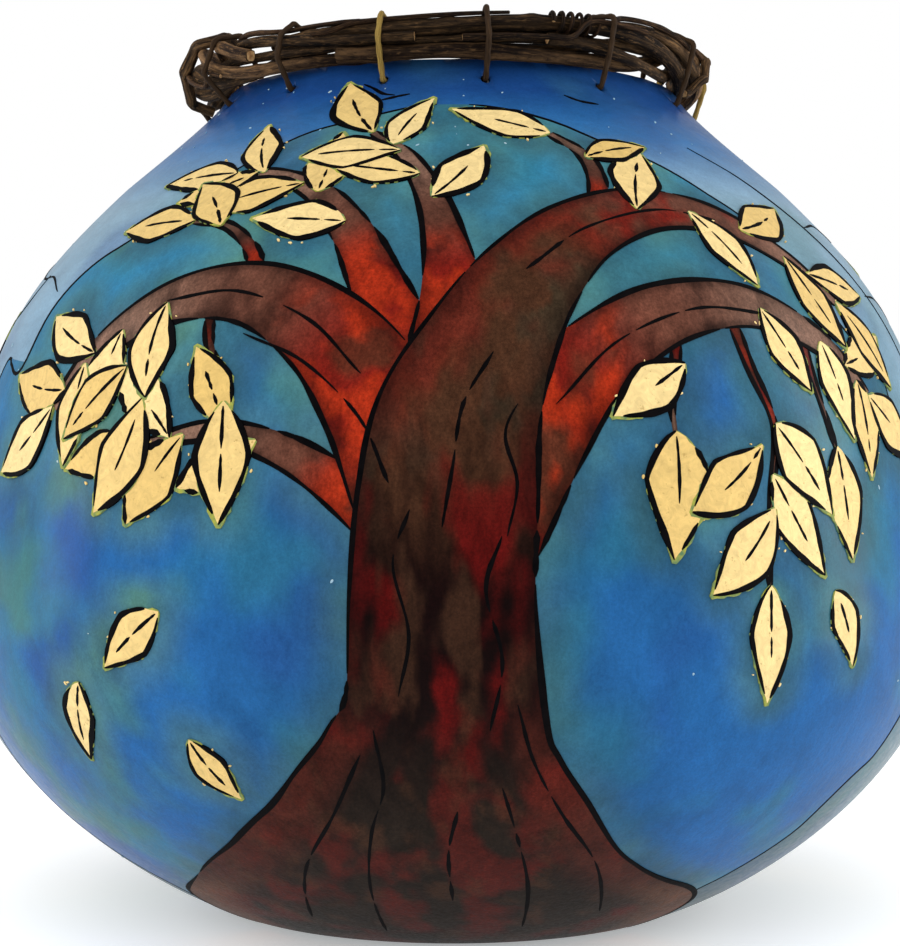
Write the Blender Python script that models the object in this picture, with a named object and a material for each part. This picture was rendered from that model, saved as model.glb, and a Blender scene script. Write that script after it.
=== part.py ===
"""A dried bottle gourd made into a vessel: a hollow shell with its top cut off, and a rim of twisted
vines bound round the opening.

Metres, +Z up. The origin is the middle of the flat foot. Azimuths are in degrees, 0 at the front (-Y)
and growing towards +X.
"""

import math

import bmesh
import bpy
from mathutils import Matrix, Vector
from mathutils.geometry import interpolate_bezier

# Gourd shell
FOOT_R = 0.056
BELLY_R, BELLY_Z = 0.141, 0.084
SHOULDER_R, SHOULDER_Z = 0.0965, 0.203
RIM_R, RIM_Z = 0.0655, 0.2330
# the outside as three Bezier runs of (radius, height): start, start handle, end handle, end
HEEL_RUN = (FOOT_R, 0), (0.078, 0), (BELLY_R, 0.040), (BELLY_R, BELLY_Z)
FLANK_RUN = (BELLY_R, BELLY_Z), (BELLY_R, 0.156), (0.124, 0.1757), (SHOULDER_R, SHOULDER_Z)
NECK_RUN = (SHOULDER_R, SHOULDER_Z), (0.0929, 0.2066), (0.0675, 0.2270), (RIM_R, RIM_Z)
WALL = 0.005
FLOOR = 0.0065
LUMP = 0.004
SHELL_SEGMENTS = 48

# Vine rim: five outer vines twist together round a thin one in the middle
RING_R = 0.0690
RING_SHIFT = 0.0010
STRAND_OFFSET = 0.0032
# the lowest vine's middle stands this far above the cut edge at the left, and RING_TILT more at the right
RING_SEAT = 0.0002
RING_TILT = 0.0012
# how much of each spread goes sideways, beside all of it going up
SPREAD_SIDEWAYS = 0.5
RIM_TURNS = 3
TWIST_SWAY = 1.3
# azimuth: (how much further apart the vines stand there, over how many degrees)
SPREADS = {-80: (0.85, 30), 47: (0.62, 38), 168: (0.5, 24)}
VINE_STEP = 6.5
VINE_TAPER = 0.10
VINE_RIPPLE = 0.05
# name: (place round the bundle, radius, azimuth where it starts, azimuth where it ends)
OUTER_VINES = {
    "vine_lower": (-70, 0.00170, -25, 312),
    "vine_middle": (2, 0.00158, 20, 352),
    "vine_top": (74, 0.00165, -44, 294),
    "vine_inner_top": (146, 0.00158, 96, 434),
    "vine_inner_lower": (218, 0.00162, 152, 488),
}
CORE_VINE = ("vine_core", 0.00105, 205, 548)

# Curls: cut ends that turn back over the bundle
# name: (radius, start azimuth, end azimuth, start and end angle round the bundle, from outward to up)
CURLS = {
    "curl_left": (0.0016, -68, -87, 160, -72),
    "curl_right": (0.0014, 88, 67, 150, -70),
}
CURL_POINTS = 18

# Ties: each loops over the vines and back through a hole in the neck
TIE_AZIMUTHS = (-62, -38, -15, 7, 34, 62, 92, 123, 149, 184, 212, 240, 268)
TIE_R = 0.0008
TIE_POINTS = 20
TIE_BEND = 0.0012
HOLE_R = 0.0013
HOLE_Z = RIM_Z - 0.006
HOLE_SIDES = 8

# Tendrils: thin shoots that grew round one vine
# name: (the vine, start azimuth, end azimuth, wraps)
TENDRILS = {
    "tendril_front": ("vine_top", 21.0, 31.5, 5),
    "tendril_back": ("vine_inner_top", 160.0, 173.0, 4),
}
TENDRIL_R = 0.0005
TENDRIL_POINTS_PER_WRAP = 12

GAP = 0.0004

COLOURS = {
    "gourd_paint": ((0.03, 0.17, 0.42), 0.35),
    "vine_bark": ((0.13, 0.075, 0.04), 0.8),
    "tie_fibre": ((0.30, 0.22, 0.09), 0.75),
    "tendril_bark": ((0.10, 0.055, 0.03), 0.8),
}


def clear_scene():
    for obj in list(bpy.data.objects):
        bpy.data.objects.remove(obj, do_unlink=True)


def material(name):
    colour, roughness = COLOURS[name]
    made = bpy.data.materials.get(name) or bpy.data.materials.new(name)
    made.use_nodes = True
    shader = made.node_tree.nodes["Principled BSDF"]
    shader.inputs["Base Color"].default_value = (*colour, 1.0)
    shader.inputs["Roughness"].default_value = roughness
    shader.inputs["Metallic"].default_value = 0.0
    return made


def link(name, data, material_name):
    data.materials.append(material(material_name))
    obj = bpy.data.objects.new(name, data)
    bpy.context.scene.collection.objects.link(obj)
    return obj


def round_place(rho, azimuth, z):
    """The point at this radius, azimuth in degrees and height."""
    turn = math.radians(azimuth)
    return Vector((rho * math.sin(turn), -rho * math.cos(turn), z))


# The gourd shell ----------------------------------------------------------------------------------


def outer_profile(heel_steps, flank_steps, neck_steps):
    """The outside of the gourd as (radius, height) points, from the foot's edge up to the rim."""
    points = [Vector((FOOT_R, 0))]
    for run, steps in ((HEEL_RUN, heel_steps), (FLANK_RUN, flank_steps), (NECK_RUN, neck_steps)):
        curve = interpolate_bezier(*[Vector(spot) for spot in run], steps + 1)
        points += [Vector((p[0], p[1])) for p in curve[1:]]
    return points


def inner_profile(points):
    """The same line moved in by the wall's thickness, ending level with the rim."""
    moved = []
    for i, point in enumerate(points):
        along = (points[min(i + 1, len(points) - 1)] - points[max(i - 1, 0)]).normalized()
        inward = Vector((-along.y, along.x)) * WALL
        moved.append(point + inward)
    moved[0] = Vector((FOOT_R - WALL, FLOOR))
    moved[-1].y = RIM_Z
    return moved


def radius_at(points, z):
    """The radius of a profile at this height, above its lowest turn."""
    for low, high in zip(points, points[1:]):
        if low.y <= z <= high.y:
            return low.x + (high.x - low.x) * (z - low.y) / (high.y - low.y)
    raise ValueError(f"no profile at height {z}")


def lump(x, y, z):
    """How far a grown shell is out of round at this place, as a factor on its radius."""
    turn = math.atan2(x, -y)
    share = math.sin(math.pi * min(max(z / RIM_Z, 0.0), 1.0)) ** 2
    return 1 + LUMP * share * (math.cos(2 * turn + 0.5) + 0.5 * math.cos(4 * turn - 1.0))


def make_hole_cutter():
    """One short radial cylinder for each tie's hole through the neck."""
    length = 0.03
    bm = bmesh.new()
    for azimuth in TIE_AZIMUTHS:
        outward = round_place(1, azimuth, 0)
        turned = outward.to_track_quat("Z", "Y").to_matrix().to_4x4()
        place = Matrix.Translation(round_place(RIM_R, azimuth, HOLE_Z)) @ turned
        bmesh.ops.create_cone(
            bm, cap_ends=True, segments=HOLE_SIDES, radius1=HOLE_R, radius2=HOLE_R, depth=length,
            matrix=place,
        )
    mesh = bpy.data.meshes.new("tie_hole_cutter")
    bm.to_mesh(mesh)
    bm.free()
    cutter = bpy.data.objects.new("tie_hole_cutter", mesh)
    bpy.context.scene.collection.objects.link(cutter)
    cutter.hide_render = True
    cutter.display_type = "WIRE"
    return cutter


def make_shell():
    """The hollow shell, turned about Z and then pushed slightly out of round, with the ties' holes."""
    outside = outer_profile(heel_steps=9, flank_steps=9, neck_steps=5)
    inside = inner_profile(outer_profile(heel_steps=6, flank_steps=6, neck_steps=3))
    line = [Vector((0, 0)), *outside, *reversed(inside), Vector((0, FLOOR))]
    bm = bmesh.new()
    verts = [bm.verts.new((p.x, 0, p.y)) for p in line]
    edges = [bm.edges.new(pair) for pair in zip(verts, verts[1:])]
    bmesh.ops.spin(
        bm,
        geom=verts + edges,
        cent=(0, 0, 0),
        axis=(0, 0, 1),
        angle=2 * math.pi,
        steps=SHELL_SEGMENTS,
        use_merge=True,
    )
    bmesh.ops.remove_doubles(bm, verts=bm.verts, dist=1e-6)
    for vert in bm.verts:
        scale = lump(*vert.co)
        vert.co.x *= scale
        vert.co.y *= scale
    bmesh.ops.recalc_face_normals(bm, faces=bm.faces)
    mesh = bpy.data.meshes.new("gourd_shell")
    bm.to_mesh(mesh)
    bm.free()
    mesh.shade_smooth()
    mesh.set_sharp_from_angle(angle=math.radians(35))
    shell = link("gourd_shell", mesh, "gourd_paint")
    holes = shell.modifiers.new("tie_holes", "BOOLEAN")
    holes.operation = "DIFFERENCE"
    holes.object = make_hole_cutter()
    return shell


# The vine rim -------------------------------------------------------------------------------------


def spread(azimuth):
    """The vines stand further apart in some stretches of the rim."""
    wider = 1.0
    for middle, (height, width) in SPREADS.items():
        apart = (azimuth - middle + 180) % 360 - 180
        wider += height * math.exp(-((apart / width) ** 2))
    return wider


def bundle_middle(azimuth):
    """(radius, height) of the middle of the bundle, which rests over the outside of the cut edge."""
    sideways = math.sin(math.radians(azimuth))
    seat = RING_SEAT + RING_TILT * (0.5 + 0.5 * sideways)
    return Vector((RING_R - RING_SHIFT * sideways, RIM_Z + seat + STRAND_OFFSET * spread(azimuth)))


def outer_vine_place(slot, azimuth):
    """(radius, height) of an outer vine. All five turn together, so that they never meet, slowly at the
    front and back and faster at the sides."""
    turn = math.radians(azimuth)
    angle = math.radians(slot) - RIM_TURNS * turn + TWIST_SWAY * math.sin(2 * turn)
    upward = STRAND_OFFSET * spread(azimuth)
    outward = STRAND_OFFSET * (1 + SPREAD_SIDEWAYS * (spread(azimuth) - 1))
    return bundle_middle(azimuth) + Vector((outward * math.cos(angle), upward * math.sin(angle)))


def tube(name, points, radii, material_name, closed=False, smooth_sides=1):
    """A round tube through points, as a curve with a bevel."""
    curve = bpy.data.curves.new(name, "CURVE")
    curve.dimensions = "3D"
    curve.bevel_depth = 1.0
    curve.bevel_resolution = smooth_sides
    curve.use_fill_caps = not closed
    spline = curve.splines.new("POLY")
    spline.points.add(len(points) - 1)
    for spot, point, radius in zip(spline.points, points, radii):
        spot.co = (*point, 1.0)
        spot.radius = radius
    spline.use_cyclic_u = closed
    spline.use_smooth = True
    return link(name, curve, material_name)


def make_vine(name, radius, start, end, place):
    """A vine from one cut end to the other, thinner towards its far end and rippled along its length."""
    count = round((end - start) / VINE_STEP) + 1
    points, radii = [], []
    for i in range(count):
        share = i / (count - 1)
        azimuth = start + (end - start) * share
        rho, z = place(azimuth)
        points.append(round_place(rho, azimuth, z))
        ripple = 0.5 + 0.5 * math.sin(math.radians(7 * azimuth) + start)
        radii.append(radius * (1 - VINE_TAPER * share - VINE_RIPPLE * ripple))
    return tube(name, points, radii, "vine_bark")


def make_vines():
    for name, (slot, radius, start, end) in OUTER_VINES.items():
        make_vine(name, radius, start, end, lambda azimuth, slot=slot: outer_vine_place(slot, azimuth))
    name, radius, start, end = CORE_VINE
    make_vine(name, radius, start, end, bundle_middle)


# The ties and tendrils ----------------------------------------------------------------------------


def bundle_circles(azimuth, around):
    """The vines cut at this azimuth, as (middle, radius) circles grown by what goes round them."""
    return [
        (outer_vine_place(slot, azimuth), radius + around) for slot, radius, _, _ in OUTER_VINES.values()
    ]


def hull_point(circles, angle):
    """Where the line drawn tight round the circles faces this angle."""
    facing = Vector((math.cos(angle), math.sin(angle)))
    middle, radius = max(circles, key=lambda circle: circle[0].dot(facing) + circle[1])
    return middle + radius * facing


def neck_circles(around):
    """Circles that keep a tie clear of the neck's inner wall and cut edge, and lead it through its hole."""
    outside = outer_profile(9, 9, 5)
    inside = inner_profile(outer_profile(6, 6, 3))
    beside_wall = [
        (Vector((radius_at(inside, z), z)), around) for z in (HOLE_Z + 0.002, HOLE_Z + 0.004, RIM_Z - 1e-6)
    ]
    mouth_out = radius_at(outside, HOLE_Z) + around - TIE_BEND
    mouth_in = radius_at(inside, HOLE_Z) - around + TIE_BEND
    mouths = [(Vector((rho, HOLE_Z + TIE_BEND)), TIE_BEND) for rho in (mouth_out, mouth_in)]
    return [*beside_wall, (Vector((RIM_R, RIM_Z)), around), *mouths]


def make_ties():
    """Each tie is a closed loop in the upright plane at its azimuth."""
    around = TIE_R + GAP
    neck = neck_circles(around)
    for number, azimuth in enumerate(TIE_AZIMUTHS, start=1):
        circles = bundle_circles(azimuth, around) + neck
        points = []
        for i in range(TIE_POINTS):
            rho, z = hull_point(circles, 2 * math.pi * i / TIE_POINTS)
            points.append(round_place(rho, azimuth, z))
        tube(f"tie_{number:02d}", points, [TIE_R] * TIE_POINTS, "tie_fibre", closed=True)


def make_curls():
    """Each curl turns from inside the bundle over its top and down its outside."""
    for name, (radius, start, end, first_angle, last_angle) in CURLS.items():
        points, radii = [], []
        for i in range(CURL_POINTS):
            share = i / (CURL_POINTS - 1)
            azimuth = start + (end - start) * share
            angle = math.radians(first_angle + (last_angle - first_angle) * share)
            rho, z = hull_point(bundle_circles(azimuth, radius + GAP), angle)
            points.append(round_place(rho, azimuth, z))
            radii.append(radius * (1 - VINE_TAPER * share))
        tube(name, points, radii, "vine_bark")


def make_tendrils():
    """Each tendril winds round one vine, from its start azimuth to its end."""
    for name, (vine, start, end, wraps) in TENDRILS.items():
        slot, radius = OUTER_VINES[vine][:2]
        count = wraps * TENDRIL_POINTS_PER_WRAP + 1
        points, radii = [], []
        for i in range(count):
            share = i / (count - 1)
            azimuth = start + (end - start) * share
            angle = 2 * math.pi * wraps * share
            around = radius + TENDRIL_R + GAP
            rho, z = outer_vine_place(slot, azimuth) + around * Vector((math.cos(angle), math.sin(angle)))
            points.append(round_place(rho, azimuth, z))
            radii.append(TENDRIL_R * (1 - 0.2 * share))
        tube(name, points, radii, "tendril_bark")


clear_scene()
make_shell()
make_vines()
make_curls()
make_tendrils()
make_ties()
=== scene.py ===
import math
import random

import bpy
import numpy as np
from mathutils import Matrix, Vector, noise
from mathutils.geometry import interpolate_bezier


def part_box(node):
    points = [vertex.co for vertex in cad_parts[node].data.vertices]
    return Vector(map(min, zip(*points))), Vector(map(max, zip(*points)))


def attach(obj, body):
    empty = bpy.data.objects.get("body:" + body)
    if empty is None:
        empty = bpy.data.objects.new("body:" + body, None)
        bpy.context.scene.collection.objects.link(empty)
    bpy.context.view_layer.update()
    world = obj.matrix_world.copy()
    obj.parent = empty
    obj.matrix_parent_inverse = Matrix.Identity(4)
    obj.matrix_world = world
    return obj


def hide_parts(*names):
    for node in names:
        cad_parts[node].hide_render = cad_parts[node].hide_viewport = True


# metres throughout; azimuths in degrees, 0 at the front and growing to the viewer's right
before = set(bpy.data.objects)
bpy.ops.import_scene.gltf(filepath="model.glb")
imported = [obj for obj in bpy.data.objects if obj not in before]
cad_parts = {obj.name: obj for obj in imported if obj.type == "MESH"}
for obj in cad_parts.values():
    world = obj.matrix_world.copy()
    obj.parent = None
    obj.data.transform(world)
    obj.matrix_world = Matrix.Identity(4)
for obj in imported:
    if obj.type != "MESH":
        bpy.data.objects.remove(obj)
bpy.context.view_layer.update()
print("frame loaded:", len(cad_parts), "nodes")


# camera, light and floor

view = {"distance": 0.6, "height": 0.122, "lens": 77.7, "shiftX": -0.003, "shiftY": 0.0106}

camera = bpy.data.objects.new("camera", bpy.data.cameras.new("camera"))
bpy.context.scene.collection.objects.link(camera)
camera.location = (0, -view["distance"], view["height"])
camera.rotation_euler = (math.radians(90), 0, 0)
camera.data.lens = view["lens"]
camera.data.shift_x = view["shiftX"]
camera.data.shift_y = view["shiftY"]
camera.data.clip_start = 0.02
bpy.context.scene.camera = camera

studio = {
    "skyStrength": 0.55,
    "sunStrength": 2.2,
    "sunSpread": 85,          # degrees across, so shadows stay soft
    "sunTurn": (47, 0, -11),
    "sideStrips": [(-1.25, 0.05, 0.42, 5), (1.25, 0.05, 0.42, 9)],   # x, y, z, watts
    "stripSize": (0.35, 1.1),
    "floorSize": 40,
    "floorGlow": 0.34,        # keeps the shadow under the gourd light
}


def makeLights():
    world = bpy.data.worlds.new("studio_air")
    bpy.context.scene.world = world
    world.use_nodes = True
    tree = world.node_tree
    air = tree.nodes["Background"]
    air.inputs["Color"].default_value = (0.96, 0.98, 1.0, 1)
    air.inputs["Strength"].default_value = studio["skyStrength"]
    seen = tree.nodes.new("ShaderNodeBackground")      # what the camera sees behind the gourd
    seen.inputs["Color"].default_value = (1, 1, 1, 1)
    rays = tree.nodes.new("ShaderNodeLightPath")
    pick = tree.nodes.new("ShaderNodeMixShader")
    tree.links.new(rays.outputs["Is Camera Ray"], pick.inputs[0])
    tree.links.new(air.outputs[0], pick.inputs[1])
    tree.links.new(seen.outputs[0], pick.inputs[2])
    tree.links.new(pick.outputs[0], tree.nodes["World Output"].inputs["Surface"])

    sun = bpy.data.objects.new("soft_sun", bpy.data.lights.new("soft_sun", "SUN"))
    sun.data.energy = studio["sunStrength"]
    sun.data.angle = math.radians(studio["sunSpread"])
    sun.rotation_euler = [math.radians(a) for a in studio["sunTurn"]]
    sun.visible_glossy = False         # lights the paint without a haze on the varnish
    bpy.context.scene.collection.objects.link(sun)
    for number, (x, y, z, watts) in enumerate(studio["sideStrips"]):
        strip = bpy.data.objects.new(f"side_strip_{number}", bpy.data.lights.new(f"side_strip_{number}", "AREA"))
        strip.data.shape = "RECTANGLE"
        strip.data.size, strip.data.size_y = studio["stripSize"]
        strip.data.energy = watts
        strip.location = (x, y, z)
        strip.rotation_euler = (Vector((0, 0, 0.12)) - strip.location).to_track_quat("-Z", "Y").to_euler()
        bpy.context.scene.collection.objects.link(strip)


def makeFloor():
    half = studio["floorSize"] / 2
    mesh = bpy.data.meshes.new("floor")
    mesh.from_pydata([(-half, -half, 0), (half, -half, 0), (half, half, 0), (-half, half, 0)], [], [(0, 1, 2, 3)])
    floor = bpy.data.objects.new("floor", mesh)
    bpy.context.scene.collection.objects.link(floor)
    pale = bpy.data.materials.new("floor_white")
    pale.use_nodes = True
    shader = pale.node_tree.nodes["Principled BSDF"]
    shader.inputs["Base Color"].default_value = (0.9, 0.9, 0.9, 1)
    shader.inputs["Roughness"].default_value = 0.8
    shader.inputs["Specular IOR Level"].default_value = 0.1
    shader.inputs["Emission Color"].default_value = (1, 1, 1, 1)
    shader.inputs["Emission Strength"].default_value = studio["floorGlow"]
    mesh.materials.append(pale)


makeLights()
makeFloor()
bpy.context.scene.view_settings.view_transform = "Standard"
print("studio ready")


# colours

def colour(red, green, blue):
    # 0 to 255 on a screen, to the linear values that shaders take
    return np.array([
        (c / 255 / 12.92) if c <= 10 else ((c / 255 + 0.055) / 1.055) ** 2.4 for c in (red, green, blue)])


def blend(first, second, share):
    share = np.asarray(share)[..., None]
    return first * (1 - share) + second * share


def smooth(low, high, values):
    t = np.clip((values - low) / (high - low), 0, 1)
    return t * t * (3 - 2 * t)


def cloud(points, size, seed):
    # soft noise from 0 to 1 at these points, with patches about this many metres across
    shift = Vector((seed * 3.17, seed * 1.73, seed * 2.41))
    return np.array([0.5 + 0.5 * noise.fractal(Vector(p) / size + shift, 0.9, 2.0, 3) for p in points])


# the gourd's shape

gourd = {
    "footRadius": 0.056,
    "footHandle": (0.078, 0),
    "bellyHandle": (0.141, 0.040),
    "belly": (0.141, 0.084),           # radius and height where it is widest
    "flankHandle": (0.141, 0.156),
    "shoulderHandle": (0.124, 0.1757),
    "shoulder": (0.0965, 0.203),
    "neckHandle": (0.0929, 0.2066),
    "rimHandle": (0.0675, 0.2270),
    "rimRadius": 0.0655,
    "wall": 0.005,
    "floorLift": 0.0065,
    "outOfRound": 0.004,
    "dents": 0.0004,
    "turnSteps": 240,
    "step": 0.003,
}
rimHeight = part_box("gourd_shell")[1].z


def drawOutline(steps):
    foot, rim = (gourd["footRadius"], 0), (gourd["rimRadius"], rimHeight)
    runs = (
        (foot, gourd["footHandle"], gourd["bellyHandle"], gourd["belly"]),
        (gourd["belly"], gourd["flankHandle"], gourd["shoulderHandle"], gourd["shoulder"]),
        (gourd["shoulder"], gourd["neckHandle"], gourd["rimHandle"], rim),
    )
    points = [foot]
    for run in runs:
        points += [tuple(p) for p in interpolate_bezier(*[Vector(p) for p in run], steps)][1:]
    return np.array(points)[:, :2]


outline = drawOutline(90)
travel = np.concatenate([[0], np.cumsum(np.hypot(*np.diff(outline, axis=0).T))])   # metres up from the foot
slope = np.gradient(outline, travel, axis=0)
slope /= np.linalg.norm(slope, axis=1, keepdims=True)
topTravel = travel[-1]


def radiusAt(along):
    return np.interp(along, travel, outline[:, 0])


def alongAt(height):
    return np.interp(height, outline[:, 1], travel)


def onGourd(azimuth, along, lift=0.0):
    # points on the outside, lift metres off it
    turn = np.radians(azimuth)
    height = np.interp(along, travel, outline[:, 1])
    share = np.sin(math.pi * np.clip(height / rimHeight, 0, 1)) ** 2
    lump = gourd["outOfRound"] * (np.cos(2 * turn + 0.5) + 0.5 * np.cos(4 * turn - 1.0))
    dent = np.sin(3 * turn + 34 * height) * np.cos(2 * turn - 51 * height)
    dent = dent + 0.5 * np.sin(7 * turn - 70 * height + 1)
    radius = radiusAt(along) * (1 + share * lump) + gourd["dents"] * share * dent
    radius = radius + lift * np.interp(along, travel, slope[:, 1])
    height = height - lift * np.interp(along, travel, slope[:, 0])
    return np.stack([radius * np.sin(turn), -radius * np.cos(turn), height], axis=-1)


def addMesh(name, vertices, faces, materials, smoothAngle=35):
    mesh = bpy.data.meshes.new(name)
    mesh.from_pydata([tuple(v) for v in vertices], [], faces)
    for material in materials:
        mesh.materials.append(material)
    mesh.shade_smooth()
    mesh.set_sharp_from_angle(angle=math.radians(smoothAngle))
    piece = bpy.data.objects.new(name, mesh)
    bpy.context.scene.collection.objects.link(piece)
    return piece


def setColours(mesh, colours):
    layer = mesh.attributes.new("paintColour", "FLOAT_COLOR", "POINT")
    layer.data.foreach_set(
        "color", np.concatenate([colours, np.ones((len(colours), 1))], axis=1).astype(np.float32).ravel())


def setVectors(mesh, name, vectors):
    layer = mesh.attributes.new(name, "FLOAT_VECTOR", "POINT")
    layer.data.foreach_set("vector", np.asarray(vectors, np.float32).ravel())


def finishPiece(piece, slotName, *nodes):
    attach(piece, "root")
    if nodes:
        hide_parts(*nodes)


# materials

def newMaterial(name):
    material = bpy.data.materials.new(name)
    material.use_nodes = True
    tree = material.node_tree
    return material, tree, tree.nodes["Principled BSDF"]


def node(tree, kind, inputs=None, **settings):
    made = tree.nodes.new(kind)
    for key, value in settings.items():
        setattr(made, key, value)
    for key, value in (inputs or {}).items():
        if isinstance(value, bpy.types.NodeSocket):
            tree.links.new(value, made.inputs[key])
        else:
            made.inputs[key].default_value = value
    return made


def stretchedNoise(tree, source, stretch, scale, detail=4.0, roughness=0.55, distortion=0.0):
    mapped = node(tree, "ShaderNodeVectorMath", {0: source, 1: stretch}, operation="MULTIPLY")
    made = node(tree, "ShaderNodeTexNoise", {"Vector": mapped.outputs[0], "Scale": scale, "Detail": detail,
                                             "Roughness": roughness, "Distortion": distortion})
    return made.outputs["Fac"]


def ranged(tree, value, low, high, outLow, outHigh):
    made = node(tree, "ShaderNodeMapRange", {"Value": value, "From Min": low, "From Max": high,
                                             "To Min": outLow, "To Max": outHigh})
    return made.outputs["Result"]


def mixColours(tree, factor, first, second, blendType="MIX"):
    made = node(tree, "ShaderNodeMix", data_type="RGBA", blend_type=blendType)
    for socket, value in ((made.inputs[0], factor), (made.inputs[6], first), (made.inputs[7], second)):
        if isinstance(value, bpy.types.NodeSocket):
            tree.links.new(value, socket)
        elif isinstance(value, (int, float)):
            socket.default_value = value
        else:
            socket.default_value = (*value[:3], 1)
    return made.outputs[2]


def shadedBy(tree, colours, value):
    # the colours made lighter or darker by a value around 1
    grey = node(tree, "ShaderNodeCombineColor", {0: value, 1: value, 2: value}).outputs[0]
    return mixColours(tree, 1.0, colours, grey, "MULTIPLY")


def bumpOn(tree, shader, height, strength, distance, under=None):
    made = node(tree, "ShaderNodeBump", {"Height": height, "Strength": strength, "Distance": distance})
    if under is not None:
        tree.links.new(under, made.inputs["Normal"])
    tree.links.new(made.outputs[0], shader.inputs["Normal"])
    return made.outputs[0]


def paintMaterial(name, strokes, variation, coat):
    # brushed artist's paint: its colour comes from paintColour, and the brush varies it
    material, tree, shader = newMaterial(name)
    place = node(tree, "ShaderNodeTexCoord").outputs["Object"]
    paint = node(tree, "ShaderNodeAttribute", attribute_name="paintColour").outputs["Color"]
    wide = stretchedNoise(tree, place, strokes, 1.0, 5, 0.6, 0.8)
    fine = stretchedNoise(tree, place, [s * 6 for s in strokes], 1.0, 3, 0.6, 0.2)
    grainy = stretchedNoise(tree, place, (1, 1, 1), 620, 2)
    light = ranged(tree, wide, 0.3, 0.7, 1 - variation, 1 + variation)
    shaded = shadedBy(tree, paint, light)
    streaks = ranged(tree, fine, 0.35, 0.75, 1 - variation / 2, 1 + variation / 2)
    shaded = shadedBy(tree, shaded, streaks)
    dots = stretchedNoise(tree, place, (1, 1, 1), 1500, 2, 0.8)
    specks = ranged(tree, dots, 0.35, 0.65, 1 - variation * 0.6, 1 + variation * 0.6)
    shaded = shadedBy(tree, shaded, specks)
    tree.links.new(shaded, shader.inputs["Base Color"])
    tree.links.new(ranged(tree, fine, 0.3, 0.7, 0.34, 0.5), shader.inputs["Roughness"])
    under = bumpOn(tree, shader, fine, 0.22, 0.00035)
    bumpOn(tree, shader, grainy, 0.10, 0.00012, under)
    shader.inputs["Specular IOR Level"].default_value = 0.03
    shader.inputs["Coat Weight"].default_value = coat
    shader.inputs["Coat Roughness"].default_value = 0.2
    shader.inputs["Coat IOR"].default_value = 1.2
    return material


def goldMaterial():
    material, tree, shader = newMaterial("gold_leaf")
    place = node(tree, "ShaderNodeTexCoord").outputs["Object"]
    paint = node(tree, "ShaderNodeAttribute", attribute_name="paintColour").outputs["Color"]
    wrinkle = stretchedNoise(tree, place, (1, 1, 1), 260, 6, 0.65, 1.6)
    fine = stretchedNoise(tree, place, (1, 1, 1), 1300, 3, 0.7, 0.5)
    tone = ranged(tree, wrinkle, 0.3, 0.7, 0.80, 1.12)
    gold = shadedBy(tree, paint, tone)
    worn = ranged(tree, stretchedNoise(tree, place, (1, 1, 1), 700, 5, 0.8), 0.60, 0.66, 0, 0.7)
    gold = mixColours(tree, worn, gold, colour(150, 120, 60))
    tree.links.new(gold, shader.inputs["Base Color"])
    shader.inputs["Metallic"].default_value = 0.12
    tree.links.new(ranged(tree, fine, 0.3, 0.7, 0.42, 0.6), shader.inputs["Roughness"])
    under = bumpOn(tree, shader, wrinkle, 0.35, 0.0005)
    bumpOn(tree, shader, fine, 0.2, 0.00015, under)
    shader.inputs["Specular IOR Level"].default_value = 0.2
    return material


def plainPaint(name, base, second, roughness, size=300):
    material, tree, shader = newMaterial(name)
    place = node(tree, "ShaderNodeTexCoord").outputs["Object"]
    patch = stretchedNoise(tree, place, (1, 1, 1), size, 4)
    tree.links.new(mixColours(tree, ranged(tree, patch, 0.35, 0.65, 0, 1), base, second), shader.inputs["Base Color"])
    tree.links.new(ranged(tree, patch, 0.3, 0.7, roughness - 0.06, roughness + 0.08), shader.inputs["Roughness"])
    bumpOn(tree, shader, patch, 0.15, 0.0002)
    shader.inputs["Specular IOR Level"].default_value = 0.04
    return material


def rawGourdMaterial():
    material, tree, shader = newMaterial("raw_gourd")
    place = node(tree, "ShaderNodeTexCoord").outputs["Object"]
    blotch = stretchedNoise(tree, place, (1, 1, 1), 28, 5, 0.6, 0.5)
    fibre = stretchedNoise(tree, place, (1, 1, 0.28), 420, 5, 0.7, 1.5)
    base = mixColours(tree, ranged(tree, blotch, 0.3, 0.7, 0, 1), colour(176, 132, 84), colour(120, 82, 48))
    base = mixColours(tree, ranged(tree, fibre, 0.45, 0.7, 0, 0.55), base, colour(214, 182, 132))
    tree.links.new(base, shader.inputs["Base Color"])
    tree.links.new(ranged(tree, fibre, 0.3, 0.7, 0.75, 0.92), shader.inputs["Roughness"])
    bumpOn(tree, shader, fibre, 0.5, 0.0007)
    return material


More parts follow.
